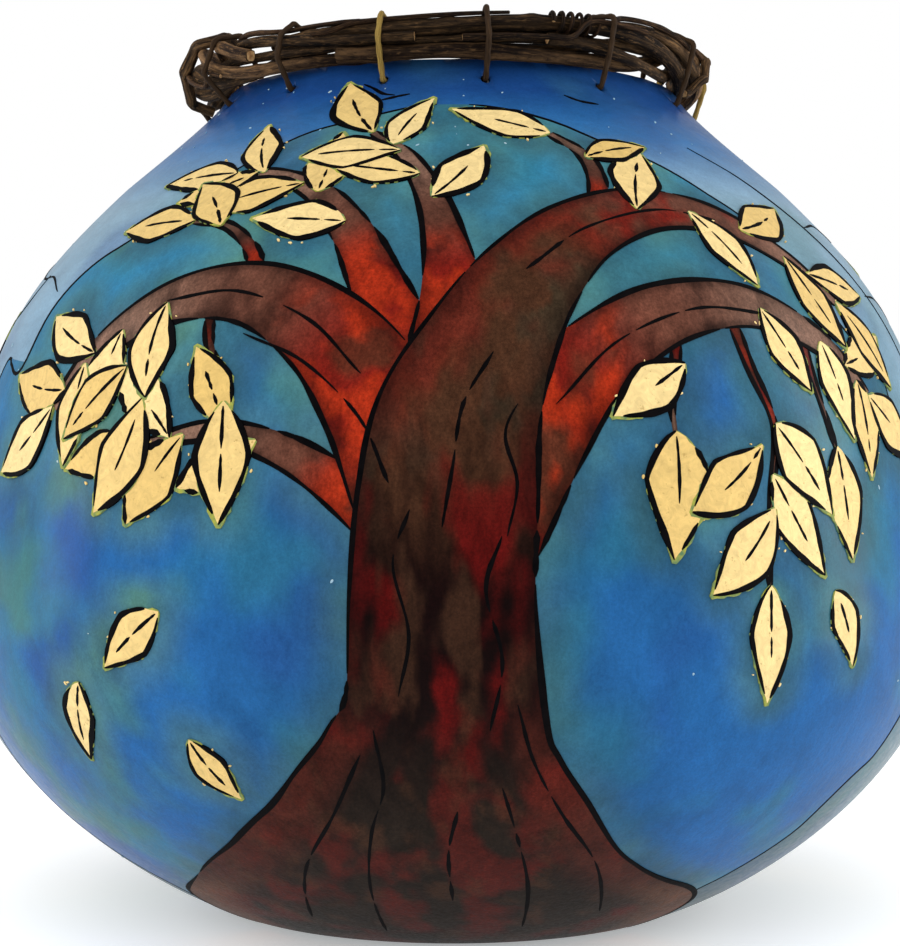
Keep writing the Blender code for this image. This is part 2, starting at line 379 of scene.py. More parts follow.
def barkMaterial(name, dark, light, ridge):
    # barkPlace is (metres along the stem, angle round it, the stem's own number)
    material, tree, shader = newMaterial(name)
    place = node(tree, "ShaderNodeAttribute", attribute_name="barkPlace").outputs["Vector"]
    ridges = stretchedNoise(tree, place, (90, 3.2, 1), 1.0, 5, 0.65, 0.4)
    patches = stretchedNoise(tree, place, (28, 0.7, 1), 1.0, 3, 0.6, 0.3)
    fine = stretchedNoise(tree, place, (600, 9, 1), 1.0, 3, 0.7)
    base = mixColours(tree, ranged(tree, patches, 0.42, 0.68, 0, 1), dark, light)
    # painted highlight: the crests of the bark ridges are lightened towards tan
    base = mixColours(tree, ranged(tree, ridges, 0.56, 0.76, 0, 0.65), base, colour(112, 84, 52))
    mottle = stretchedNoise(tree, place, (330, 2.6, 1), 1.0, 4, 0.7, 0.5)
    base = mixColours(tree, ranged(tree, mottle, 0.54, 0.66, 0, 0.5), base, colour(104, 78, 50))
    base = mixColours(tree, ranged(tree, mottle, 0.47, 0.36, 0, 0.7), base, colour(12, 8, 6))
    # painted shade: the hollows between the ridges are darkened nearly to black
    base = mixColours(tree, ranged(tree, ridges, 0.46, 0.3, 0, 0.9), base, colour(7, 5, 4))
    # painted light and shade: the vines are darkened across the front of the ring, within 3 cm of x = 0, and
    # lightened up to 2.5 times towards its sides
    spot = node(tree, "ShaderNodeSeparateXYZ", {0: node(tree, "ShaderNodeTexCoord").outputs["Object"]})
    sideways = node(tree, "ShaderNodeMath", {0: spot.outputs["X"]}, operation="ABSOLUTE").outputs[0]
    shadeFrontLightSides = ranged(tree, sideways, 0.03, 0.07, 0.85, 2.5)
    base = shadedBy(tree, base, shadeFrontLightSides)
    tree.links.new(base, shader.inputs["Base Color"])
    tree.links.new(ranged(tree, fine, 0.3, 0.7, 0.55, 0.8), shader.inputs["Roughness"])
    under = bumpOn(tree, shader, ridges, 0.7, ridge)
    bumpOn(tree, shader, fine, 0.3, ridge / 3, under)
    shader.inputs["Specular IOR Level"].default_value = 0.06
    return material


def fibreMaterial(name, dark, light):
    material, tree, shader = newMaterial(name)
    place = node(tree, "ShaderNodeAttribute", attribute_name="barkPlace").outputs["Vector"]
    fibre = stretchedNoise(tree, place, (240, 5, 1), 1.0, 4, 0.7, 0.6)
    base = mixColours(tree, ranged(tree, fibre, 0.35, 0.65, 0, 1), dark, light)
    tree.links.new(base, shader.inputs["Base Color"])
    shader.inputs["Roughness"].default_value = 0.7
    shader.inputs["Specular IOR Level"].default_value = 0.1
    bumpOn(tree, shader, fibre, 0.6, 0.0002)
    return material


bluePaint = paintMaterial("blue_paint", (60, 60, 130), 0.13, 0.5)
skyPaint = paintMaterial("sky_paint", (95, 95, 60), 0.15, 0.35)
barkPaint = paintMaterial("bark_paint", (160, 160, 70), 0.36, 0.05)
goldLeaf = goldMaterial()
blackPaint = plainPaint("black_line", colour(1, 1, 2), colour(7, 5, 6), 0.65)
sizePaint = plainPaint("leaf_size", colour(150, 150, 62), colour(82, 110, 80), 0.4, 500)
flecks = plainPaint("pale_flecks", colour(170, 186, 184), colour(104, 146, 176), 0.5, 900)
rawGourd = rawGourdMaterial()
cutGourd = plainPaint("cut_edge", colour(196, 156, 104), colour(140, 100, 62), 0.75)
vineBark = barkMaterial("vine_bark", colour(11, 7, 5), colour(62, 46, 30), 0.0009)
paleVineBark = barkMaterial("pale_vine_bark", colour(24, 15, 10), colour(96, 72, 48), 0.0009)
shootBark = barkMaterial("shoot_bark", colour(10, 6, 5), colour(46, 31, 21), 0.0004)
cutWood = plainPaint("cut_wood", colour(186, 150, 104), colour(128, 92, 60), 0.8, 900)
tieFibre = fibreMaterial("tie_fibre", colour(84, 64, 28), colour(160, 134, 70))
darkFibre = fibreMaterial("dark_tie_fibre", colour(22, 14, 9), colour(62, 45, 28))
print("materials ready")


# the gourd itself

ties = {
    "azimuths": (-62, -38, -15, 7, 34, 62, 92, 123, 149, 184, 212, 240, 268),
    "radius": 0.0008,
    "holeRadius": 0.0013,
    "holeBelowRim": 0.006,
    "bend": 0.0012,
    "pointsRound": 96,
    "sides": 10,
    "plyLength": 0.0042,
    "pale": (3, 7, 9, 12),     # the others are darker
}

blues = {
    "neck": colour(20, 58, 112),
    "collar": colour(36, 92, 142),
    "shoulder": colour(116, 144, 162),
    "side": colour(114, 144, 166),
    "belly": colour(60, 100, 122),
    "low": colour(38, 78, 88),
    "foot": colour(30, 58, 66),
    "green": colour(58, 104, 100),
    "deep": colour(30, 66, 120),
}


def bodyColours(points):
    height = points[:, 2]
    heights = [0.0, 0.03, 0.09, 0.15, 0.195, 0.212, 0.224, rimHeight]
    stops = [blues[k] for k in ("foot", "low", "belly", "side", "shoulder", "collar", "neck", "neck")]
    base = np.stack([np.interp(height, heights, [s[i] for s in stops]) for i in range(3)], axis=1)
    base = blend(base, blues["green"], 0.4 * smooth(0.5, 0.8, cloud(points, 0.05, 3)))
    return blend(base, blues["deep"], 0.4 * smooth(0.5, 0.85, cloud(points, 0.04, 8)))


def holeCutter():
    vertices, faces = [], []
    sides, half, turnBy = 16, 0.012, 0.09      # turnBy: radians each cutter is turned about its own axis
    for azimuth in ties["azimuths"]:
        turn = math.radians(azimuth)
        outward = Vector((math.sin(turn), -math.cos(turn), 0))
        across = Vector((math.cos(turn), math.sin(turn), 0))
        middle = outward * gourd["rimRadius"] + Vector((0, 0, rimHeight - ties["holeBelowRim"]))
        first = len(vertices)
        for end in (-half, half):
            for k in range(sides):
                a = 2 * math.pi * k / sides + turnBy
                spoke = across * math.cos(a) + Vector((0, 0, 1)) * math.sin(a)
                vertices.append(middle + outward * end + spoke * ties["holeRadius"])
        ring = list(range(first, first + sides))
        # every face looks outwards: a cutter that is inside out cuts nothing
        faces.append(ring[::-1])
        faces.append([i + sides for i in ring])
        faces += [
            [ring[k], ring[(k + 1) % sides], ring[(k + 1) % sides] + sides, ring[k] + sides] for k in range(sides)]
    return addMesh("hole_cutter", vertices, faces, [])


def makeGourd():
    azimuths = np.linspace(0, 360, gourd["turnSteps"], endpoint=False)
    rings, kinds = [], []          # kind 0 painted, 1 raw inside, 2 cut edge and sanded foot

    def ring(radius, height, kind):
        turn = np.radians(azimuths)
        rings.append(np.stack([radius * np.sin(turn), -radius * np.cos(turn), np.full_like(turn, height)], axis=1))
        kinds.append(kind)

    for radius in (0.018, 0.037):
        ring(radius, 0.0, 2)
    count = round(topTravel / gourd["step"])
    lanes = np.linspace(0, topTravel, count + 1)
    for i, along in enumerate(lanes):
        rings.append(onGourd(azimuths, np.full_like(azimuths, along)))
        kinds.append(0 if i else 2)
    rimInner = gourd["rimRadius"] - gourd["wall"]
    wear = 0.00035 * np.sin(np.radians(azimuths) * 11) * np.sin(np.radians(azimuths) * 5 + 1)
    for share in (0.12, 0.5, 0.88):
        radius = gourd["rimRadius"] + (rimInner - gourd["rimRadius"]) * share
        turn = np.radians(azimuths)
        crest = rimHeight + 0.0004 * math.sin(math.pi * share) + wear
        rings.append(np.stack([radius * np.sin(turn), -radius * np.cos(turn), crest], axis=1))
        kinds.append(2)
    for along in lanes[::-1][:-6]:
        depth = gourd["wall"] + 0.0004 * np.sin(np.radians(azimuths) * 9 + 160 * along) * np.cos(240 * along)
        rings.append(onGourd(azimuths, np.full_like(azimuths, along), -depth))
        kinds.append(1)
    low = rings[-1]
    lowRadius, lowHeight = np.hypot(low[:, 0], low[:, 1]).mean(), low[:, 2].mean()
    for share in (0.35, 0.65, 0.9):
        ring(lowRadius * (1 - share), lowHeight + (gourd["floorLift"] - lowHeight) * min(1, 2 * share), 1)

    turns = gourd["turnSteps"]
    vertices = [(0, 0, 0)] + [tuple(p) for r in rings for p in r] + [(0, 0, gourd["floorLift"])]
    faces, slots = [], []
    for k in range(turns):
        faces.append((0, 1 + k, 1 + (k + 1) % turns))
        slots.append(2)
    for i in range(len(rings) - 1):
        for k in range(turns):
            a, b = 1 + i * turns + k, 1 + i * turns + (k + 1) % turns
            faces.append((a, a + turns, b + turns, b))
            slots.append(kinds[i + 1])
    last = 1 + (len(rings) - 1) * turns
    for k in range(turns):
        faces.append((last + k, len(vertices) - 1, last + (k + 1) % turns))
        slots.append(1)
    faces = [tuple(reversed(f)) for f in faces]
    piece = addMesh("gourd_body", vertices, faces, [bluePaint, rawGourd, cutGourd], 50)
    piece.data.polygons.foreach_set("material_index", slots)
    cutter = holeCutter()
    holes = piece.modifiers.new("tie_holes", "BOOLEAN")
    holes.object = cutter
    holes.operation = "DIFFERENCE"
    graph = bpy.context.evaluated_depsgraph_get()
    cut = bpy.data.meshes.new_from_object(piece.evaluated_get(graph))
    piece.modifiers.clear()
    piece.data = cut
    bpy.data.objects.remove(cutter)
    points = np.array([v.co for v in piece.data.vertices])
    setColours(piece.data, bodyColours(points))
    finishPiece(piece, "painted_gourd", "gourd_shell")
    return piece


makeGourd()
print("gourd ready")


# drawing on the gourd: a slab is a thin layer of paint along a path of (azimuth, height in mm)

layers = {
    "bed": 0.00012,           # every layer's underside lies this far below the surface
    "panel": 0.00008,
    "panelLine": 0.00014,
    "firstLimb": 0.00014,
    "limbStep": 0.000028,
    "size": 0.00038,
    "leaf": 0.00043,
    "leafStep": 0.00006,
    "ink": 0.000045,          # black lines stand this much higher than what they outline
}


def drawnPath(points, step):
    # a smooth curve through (azimuth, height mm, width mm) points, as (azimuth, along, width in metres)
    knots = np.array([(a, alongAt(h * 0.001), w * 0.001) for a, h, w in points])
    ends = np.vstack([2 * knots[0] - knots[1], knots, 2 * knots[-1] - knots[-2]])
    made = []
    for i in range(1, len(ends) - 2):
        p0, p1, p2, p3 = ends[i - 1:i + 3]
        span = math.hypot(math.radians(p2[0] - p1[0]) * radiusAt(p1[1]), p2[1] - p1[1])
        count = max(2, math.ceil(span / step))
        t = np.linspace(0, 1, count, endpoint=False)[:, None]
        made.append(0.5 * (2 * p1 + (p2 - p0) * t + (2 * p0 - 5 * p1 + 4 * p2 - p3) * t ** 2
                           + (3 * p1 - p0 - 3 * p2 + p3) * t ** 3))
    made.append(knots[-1:])
    return np.vstack(made)


def leftOf(path):
    # unit steps to the left of a path, in metres on the surface
    step = np.stack([np.gradient(np.radians(path[:, 0])) * radiusAt(path[:, 1]), np.gradient(path[:, 1])], axis=1)
    step /= np.maximum(np.linalg.norm(step, axis=1, keepdims=True), 1e-12)
    return np.stack([-step[:, 1], step[:, 0]], axis=1)


def beside(path, reach):
    # the path moved reach metres to its left
    left = leftOf(path)
    along = np.clip(path[:, 1] + reach * left[:, 1], 0.0005, topTravel - 0.0005)
    azimuth = path[:, 0] + np.degrees(reach * left[:, 0] / radiusAt(along))
    return np.stack([azimuth, along], axis=1)


def slab(path, lift, across=2, crown=0.0, ragged=0.0, rng=None, tag=0.0):
    widths = np.maximum(path[:, 2], 0.00012)
    sides = np.linspace(-1, 1, across + 1)
    reach = widths[:, None] / 2 * sides[None, :]
    if ragged:
        rough = np.array([[rng.uniform(-1, 1) for _ in range(2)] for _ in path]) * ragged
        rough *= np.minimum(1, widths / 0.004)[:, None]
        reach[:, 0] += rough[:, 0]
        reach[:, -1] += rough[:, 1]
    columns = [beside(path, reach[:, j]) for j in range(across + 1)]
    azimuth = np.stack([c[:, 0] for c in columns], axis=1)
    along = np.stack([c[:, 1] for c in columns], axis=1)
    top = onGourd(azimuth, along, lift + crown * (1 - sides[None, :] ** 2))
    bottom = onGourd(azimuth, along, -layers["bed"])
    n, m = azimuth.shape
    index = np.arange(n * m).reshape(n, m)
    under = index + n * m

    def quads(a, b, c, d):
        return np.stack([x.ravel() for x in (a, b, c, d)], axis=1)

    faces = [
        quads(index[:-1, :-1], index[1:, :-1], index[1:, 1:], index[:-1, 1:]),
        quads(under[:-1, :-1], under[:-1, 1:], under[1:, 1:], under[1:, :-1]),
        quads(index[:-1, 0], under[:-1, 0], under[1:, 0], index[1:, 0]),
        quads(index[:-1, -1], index[1:, -1], under[1:, -1], under[:-1, -1]),
        quads(index[0, :-1], index[0, 1:], under[0, 1:], under[0, :-1]),
        quads(index[-1, :-1], under[-1, :-1], under[-1, 1:], index[-1, 1:]),
    ]
    length = np.linspace(0, 1, n)[:, None] + 0 * azimuth
    return {
        "points": np.concatenate([top.reshape(-1, 3), bottom.reshape(-1, 3)]),
        "faces": np.concatenate(faces),
        "share": np.tile(length.ravel(), 2),
        "side": np.tile(np.broadcast_to(sides, (n, m)).ravel(), 2),
        "tag": np.full(2 * n * m, tag),
        "edge": np.concatenate([top[:, 0], top[:, -1]]),
    }


def joinSlabs(name, slabs, material, slotName, colours=None):
    points = np.concatenate([s["points"] for s in slabs])
    faces, first = [], 0
    for s in slabs:
        faces += (s["faces"] + first).tolist()
        first += len(s["points"])
    piece = addMesh(name, points, faces, [material], 40)
    if colours is not None:
        setColours(piece.data, colours)
    finishPiece(piece, slotName)
    return piece


def inkStroke(path, width, lift, rng, taper=0.25):
    # a brush line that swells, thins and ends in points
    share = np.linspace(0, 1, len(path))
    phase = rng.uniform(0, 6)
    swell = 0.86 + 0.16 * np.sin(9 * share + phase) + 0.1 * np.sin(23 * share + 2 * phase)
    ends = np.clip(np.minimum(share, 1 - share) / taper, 0, 1) ** 0.6
    made = np.column_stack([path[:, 0], path[:, 1], width * swell * (0.25 + 0.75 * ends)])
    return slab(made, lift, 2, crown=0.00003)


def brokenInk(path, width, lift, rng, gaps):
    # one line drawn in several strokes with small gaps between them
    cuts = sorted([0.0] + [rng.uniform(0.12, 0.9) for _ in range(gaps)] + [1.0])
    made = []
    for low, high in zip(cuts, cuts[1:]):
        first = int(low * (len(path) - 1)) + (1 if low else 0)
        last = int(high * (len(path) - 1)) + 1
        if last - first >= 4:
            made.append(inkStroke(path[first:last], width * rng.uniform(0.8, 1.15), lift, rng, 0.18))
    return made


# the painted tree: limbs are drawn back to front

tree = {
    "step": 0.002,
    "inkWidth": 0.00148,
    # each limb: its line of (azimuth, height, width), and where leaves grow from it as
    # (share of its length, turn from its direction, length of the leaf)
    "limbs": {
        "left_low": {
            "line": [(-3, 104, 15), (-9, 118, 11), (-16, 129, 8), (-24, 134, 5), (-32, 131, 2.5)],
            "leaves": [(0.62, -52, 23), (0.72, 58, 24), (0.86, -38, 26), (0.92, 62, 27), (1.0, 4, 27)],
        },
        "left_high": {
            "line": [(-4, 150, 17), (-8, 168, 13), (-12, 182, 10), (-18, 193, 7), (-26, 199, 4), (-33, 200, 2)],
            "leaves": [(0.50, -48, 25), (0.66, 50, 25), (0.74, -42, 27), (0.90, 46, 25), (0.93, -34, 24),
                       (1.0, 0, 26)],
        },
        "middle": {
            "line": [(0, 150, 22), (0, 166, 15), (-1, 180, 10), (-3, 192, 7), (-7, 203, 4.5), (-13, 210, 2)],
            "leaves": [(0.60, 60, 24), (0.72, -55, 25), (0.86, -48, 26), (0.90, 52, 23), (1.0, 6, 27)],
        },
        "right_low": {
            "line": [(3, 112, 27), (8, 134, 25), (14, 150, 20), (23, 162, 16), (34, 165, 12), (44, 157, 8),
                     (51, 144, 3.5)],
            "leaves": [(0.72, 55, 24), (0.86, 48, 26), (0.97, 42, 25), (1.0, -6, 28), (0.93, -55, 27)],
        },
        "left_main": {
            "line": [(-3, 118, 30), (-7, 140, 27), (-13, 157, 22), (-22, 167, 17), (-32, 166, 13),
                     (-41, 155, 9), (-47, 141, 4)],
            "leaves": [(0.70, -58, 25), (0.80, -44, 26), (0.90, -40, 26), (0.97, 48, 27),
                       (1.0, 0, 28), (0.86, 58, 27)],
        },
    },
    # the trunk runs on into the upper bough on the right
    "trunk": [(-3, 2, 112), (-3, 8, 138), (-3, 15, 148), (-3, 23, 126), (-2.6, 32, 101), (-2, 42, 82),
              (-1.6, 52, 68), (-1.2, 62, 54), (-0.8, 73, 45), (-1, 96, 42), (-0.5, 118, 41), (0.5, 136, 38),
              (3.5, 153, 31), (8, 169, 25), (15, 182, 19.5),
              (25, 189, 15), (36, 188, 11), (45, 179, 7), (51, 168, 3)],
    "trunkLeaves": [(0.80, -62, 26), (0.85, 52, 26), (0.90, -46, 27), (0.94, 44, 28), (0.965, -40, 27), (1.0, 6, 28)],
    "twigs": [
        [(-27, 167, 3.2), (-26, 156, 2.2), (-24, 147, 1.6), (-23, 140, 1.2)],
        [(-36, 161, 3.0), (-35, 150, 2.0), (-33, 141, 1.4)],
        [(24, 161, 3.4), (23, 150, 2.2), (22, 141, 1.5), (22, 133, 1.2)],
        [(31, 164, 3.6), (32, 150, 2.4), (34, 136, 1.8), (33, 122, 1.5), (32, 108, 1.3), (32, 97, 1.0)],
        [(41, 159, 3.0), (41, 148, 2.0), (42, 138, 1.4), (43, 130, 1.1)],
        [(17, 184, 6.0), (20, 195, 5.0), (20, 204, 4.0), (16, 210, 2.4)],
        [(-21, 167, 5.0), (-24, 178, 3.6), (-29, 185, 2.4), (-35, 187, 1.6)],
    ],
    # sprigs round the sides and back: azimuth and height of the foot, and which way they lean
    "sprigs": [(96, 118, 1), (121, 64, -1), (146, 132, 1), (168, 80, -1), (190, 140, -1),
               (212, 70, 1), (236, 124, -1), (262, 84, 1), (282, 134, -1)],
    "sprigLine": [(0, 0, 4.0), (2, 12, 3.2), (7, 24, 2.4), (13, 33, 1.6), (20, 38, 1.0)],
    "sprigLeaves": [(0.30, -52, 22), (0.42, 50, 23), (0.60, -44, 24), (0.72, 48, 24), (0.90, -36, 23), (1.0, 4, 25)],
    "backLeaves": 13,
    # lines inside the bark
    "barkLines": [
        [(-24, 12), (-19, 28), (-13, 44), (-9, 60)],
        [(-12, 8), (-11, 24), (-9, 40), (-7, 52), (-7.5, 66)],
        [(12, 10), (10, 24), (7, 40), (5, 52)],
        [(24, 14), (18, 30), (12, 44), (8, 58), (6, 72)],
        [(-5, 74), (-4, 88), (-5.5, 104), (-4, 116)],
        [(3.5, 66), (4.5, 82), (3, 98), (4.5, 110)],
        [(-1, 112), (0, 126), (1, 140), (4, 152)],
        [(5, 110), (6, 122), (5, 134), (8, 146)],
        [(-6, 122), (-9, 137), (-15, 150), (-22, 157)],
        [(8, 172), (16, 183), (27, 189), (36, 187.5)],
        [(10, 140), (17, 155), (27, 163.5), (37, 163)],
        [(-9, 147), (-15, 160), (-24, 167.5), (-33, 166)],
        [(0, 20), (-0.5, 34), (0.5, 46)],
    ],
    # leaves that hang from twigs or fall: azimuth and height of the base, direction, length
    "looseLeaves": [
        (-23, 141, 176, 29), (-33, 142, 190, 30), (22, 134, 178, 30), (43, 131, 172, 28), (32, 98, 182, 28),
        (33, 124, 150, 29), (33, 116, 214, 28), (32, 131, 222, 27), (34, 136, 138, 28),
        (16, 210, -68, 25), (20, 203, 60, 21),
        (-35, 187, -84, 26), (-30, 185, -30, 23), (24, 150, 236, 24), (-36, 150, 232, 26),
        (-29, 92, 236, 22), (-40, 74, 205, 22), (-27, 62, 160, 19), (41, 96, 150, 20),
    ],
}


def limbStack(number):
    return layers["firstLimb"] + layers["limbStep"] * number


rng = random.Random(11)
limbSlabs, limbInk, leafSpecs, limbPaths = [], [], [], []


def covered(points, path, margin=0.0004):
    # which of these (azimuth, along) points lie under the slab that follows path
    left = leftOf(path)
    x = np.radians(points[:, None, 0] - path[None, :, 0]) * radiusAt(path[:, 1])[None, :]
    y = points[:, None, 1] - path[None, :, 1]
    across = x * left[:, 0] + y * left[:, 1]
    ahead = x * left[:, 1] - y * left[:, 0]
    return ((np.abs(ahead) < 0.0014) & (np.abs(across) < path[:, 2] / 2 - margin)).any(axis=1)


def visibleRuns(path, covers):
    # the stretches of a line that nothing painted later covers
    hidden = np.zeros(len(path), bool)
    for cover in covers:
        hidden |= covered(path, cover)
    runs, start = [], None
    for i, off in enumerate([*hidden, True]):
        if not off and start is None:
            start = i
        if off and start is not None:
            if i - start >= 4:
                runs.append(path[start:i])
            start = None
    return runs


def addLimb(points, number, tag):
    path = drawnPath(points, tree["step"])
    columns = max(2, math.ceil(path[:, 2].max() / 0.0024))
    limbSlabs.append(slab(path, limbStack(number), columns, tag=tag))
    limbPaths.append((path, number))
    return path


def headingOf(path, share):
    # (azimuth, along) of a place on a path, and its heading in degrees clockwise from up
    i = min(int(share * (len(path) - 1)), len(path) - 1)
    left = leftOf(path)[i]
    return path[i, 0], path[i, 1], math.degrees(math.atan2(left[1], -left[0]))


def growLeaves(path, leaves):
    for share, turn, length in leaves:
        azimuth, along, heading = headingOf(path, share)
        leafSpecs.append((azimuth, along, heading + turn, length * 0.001))


for points in tree["twigs"]:
    addLimb(points, 0, 3.0)
for number, limb in enumerate(tree["limbs"].values(), start=1):
    growLeaves(addLimb(limb["line"], number, 2.0), limb["leaves"])
topLimb = len(tree["limbs"]) + 1
growLeaves(addLimb(tree["trunk"], topLimb, 1.0), tree["trunkLeaves"])
for azimuth, height, heading, length in tree["looseLeaves"]:
    leafSpecs.append((azimuth, alongAt(height * 0.001), heading, length * 0.001))
for azimuth, height, lean in tree["sprigs"]:
    line = [(azimuth + lean * a, height + h, w) for a, h, w in tree["sprigLine"]]
    growLeaves(addLimb(line, 1, 2.0), [(share, lean * turn, length) for share, turn, length in tree["sprigLeaves"]])
for azimuth in np.linspace(84, 274, tree["backLeaves"]):
    height = rng.choice((0.036, 0.052, 0.100, 0.186)) + rng.uniform(-0.006, 0.006)
    leafSpecs.append(
        (azimuth + rng.uniform(-4, 4), alongAt(height), rng.uniform(100, 260), rng.uniform(0.019, 0.026)))

for path, number in limbPaths:
    covers = [other for other, above in limbPaths if above > number]
    for side in (-1, 1):
        for run in visibleRuns(beside(path, side * path[:, 2] / 2), covers):
            limbInk.extend(
                brokenInk(run, tree["inkWidth"], limbStack(number) + layers["ink"], rng, 1 + len(run) // 40))

for line in tree["barkLines"]:
    path = drawnPath([(a, h, 1) for a, h in line], tree["step"])
    limbInk.extend(brokenInk(path[:, :2], 0.0010, limbStack(topLimb) + layers["ink"] + 0.00002, rng, 2))


# gold leaves

leafShape = {"width": 0.45, "steps": 24, "across": 6, "ragged": 0.0003, "sizeBorder": 0.0011}
leafSlabs, sizeSlabs, leafInk, leafTones = [], [], [], []


def leafPath(azimuth, along, heading, length, bend, width, grow=0.0, belly=0.85):
    # a leaf's midrib from its base, curving by bend degrees, with its width at each place
    share = np.linspace(0, 1, leafShape["steps"])
    turn = np.radians(heading + bend * share)
    step = length / (len(share) - 1)
    x = np.concatenate([[0], np.cumsum(np.sin(turn[:-1]) * step)])
    y = np.concatenate([[0], np.cumsum(np.cos(turn[:-1]) * step)])
    upTravel = np.clip(along + y, 0.001, topTravel - 0.001)
    around = azimuth + np.degrees(x / radiusAt(upTravel))
    peak = 0.5 ** (1 / belly)
    angular = np.minimum(share / peak, (1 - share) / (1 - peak))
    body = 0.66 * np.sin(math.pi * share ** belly) ** 0.95 + 0.36 * angular
    return np.column_stack([around, upTravel, width * body + grow])


def crumbAt(azimuth, along, size, tag):
    small = leafPath(azimuth, along, rng.uniform(0, 360), size * 2, 0, size)[::6]
    leafSlabs.append(slab(small, layers["size"], 2, tag=tag))


plans, levels = [], []
for azimuth, along, heading, length in leafSpecs:
    bend, width = rng.uniform(-26, 26), length * leafShape["width"] * rng.uniform(0.88, 1.18)
    belly = rng.uniform(0.72, 1.08)
    path = leafPath(azimuth, along, heading, length, bend, width, belly=belly)
    plans.append((
        path, leafPath(azimuth, along, heading, length * 1.03, bend, width, leafShape["sizeBorder"], belly)))
for number, (path, wide) in enumerate(plans):
    taken = [levels[k] for k in range(number) if covered(wide[:, :2], plans[k][1], 0).any()
             or covered(plans[k][1][:, :2], wide, 0).any()]
    levels.append(max(taken) + 1 if taken else 0)

for number, (path, wide) in enumerate(plans):
    level = layers["leaf"] + layers["leafStep"] * levels[number]
    covers = [plans[k][1] for k in range(len(plans)) if levels[k] > levels[number]]
    sizeSlabs.append(slab(wide, level - 0.00003, 4, ragged=0.0004, rng=rng))
    leafSlabs.append(slab(path, level, leafShape["across"], ragged=leafShape["ragged"], rng=rng, tag=number))
    leafTones.append(rng.uniform(0, 1))
    for side in (-1, 1):
        edge = beside(path, side * path[:, 2] / 2 * 1.02)
        low, high = rng.uniform(0, 0.14), rng.uniform(0.88, 1.0)
        part = edge[int(low * len(edge)):int(high * len(edge)) + 1]
        for run in visibleRuns(part, covers):
            leafInk.append(inkStroke(run, rng.uniform(0.0012, 0.0019), level + layers["ink"], rng, 0.16))
    rib = path[1:int(rng.uniform(0.6, 0.85) * len(path)), :2]
    for run in visibleRuns(rib, covers):
        leafInk.extend(brokenInk(run, 0.0010, level + layers["ink"], rng, 1))
    for _ in range(3):                               # crumbs of gold beside the leaf
        i = rng.randrange(2, len(path) - 2)
        spot = beside(path[i - 1:i + 2], rng.choice((-1, 1)) * (path[i, 2] / 2 + rng.uniform(0.0006, 0.0022)))[1]
        crumbAt(spot[0], spot[1], rng.uniform(0.0003, 0.0007), number)
print("most leaves on top of each other:", max(levels) + 1)


# the blue panel behind the tree, with its thin border

panel = {
    # height in mm, and the azimuths of its left and right sides there
    "sides": [
        (2.5, -34, 26), (8, -44, 37), (17, -53, 45), (30, -62, 53), (50, -67, 57), (80, -68, 59), (110, -66, 60),
        (140, -60.5, 58.5), (160, -55, 53.5), (180, -47, 46.5), (195, -39, 38.5), (206, -30, 29.5),
        (213, -20, 20), (217.5, -9, 9), (218.6, -3, 3),
    ],
    "lineWidth": 0.0010,
    "columns": 96,
}


def panelPath():
    rows = []
    for height, left, right in panel["sides"]:
        width = math.radians(right - left) * radiusAt(alongAt(height * 0.001)) * 1000
        rows.append(((left + right) / 2, height, width))
    return drawnPath(rows, 0.0022)


sky = {
    "top": colour(40, 112, 142),
    "upper": colour(38, 104, 140),
    "middle": colour(27, 83, 138),
    "low": colour(28, 85, 140),
    "cobalt": colour(28, 70, 130),
    "teal": colour(40, 104, 124),
    "moss": colour(62, 108, 84),
    "green": colour(80, 116, 84),
    "dark": colour(22, 60, 84),
}


def skyColours(points, sources):
    height = points[:, 2]
    heights = [0.0, 0.06, 0.11, 0.16, 0.22]
    stops = [sky[k] for k in ("low", "low", "middle", "upper", "top")]
    base = np.stack([np.interp(height, heights, [s[i] for s in stops]) for i in range(3)], axis=1)
    base = blend(base, sky["cobalt"], 0.75 * smooth(0.5, 0.75, cloud(points, 0.05, 1)))
    base = blend(base, sky["teal"], 0.7 * smooth(0.5, 0.78, cloud(points, 0.038, 5)))
    base = blend(base, sky["moss"],
                 0.55 * smooth(0.54, 0.8, cloud(points, 0.03, 12)) * smooth(0.03, -0.07, points[:, 0]))
    nearest = np.full(len(points), 1.0)
    for start in range(0, len(sources), 400):
        gaps = np.linalg.norm(points[:, None, :] - sources[None, start:start + 400, :], axis=2)
        nearest = np.minimum(nearest, gaps.min(axis=1))
    glow = smooth(0.012, 0.001, nearest) * (0.35 + 0.65 * cloud(points, 0.02, 9))
    base = blend(base, sky["green"], 0.62 * glow)
    besideTrunk = (smooth(0.030, 0.004, nearest) * smooth(0.062, 0.045, np.abs(points[:, 0]))
                   * smooth(0.15, 0.10, height))
    base = blend(base, sky["dark"], 0.4 * besideTrunk)
    return blend(base, sky["dark"], 0.6 * smooth(0.011, 0.0, nearest) * smooth(0.35, 0.62, cloud(points, 0.03, 4)))


border = panelPath()
panelSlab = slab(border, layers["panel"], panel["columns"])
sources = np.concatenate([s["edge"] for s in limbSlabs + leafSlabs])[::3]
joinSlabs("sky_panel", [panelSlab], skyPaint, "painted_gourd", skyColours(panelSlab["points"], sources))

panelInk = []
for side in (-1, 1):
    edge = beside(border, side * border[:, 2] / 2)
    panelInk.append(inkStroke(edge, panel["lineWidth"], layers["panelLine"], rng, 0.02))
joinSlabs("panel_border", panelInk, blackPaint, "black_line")

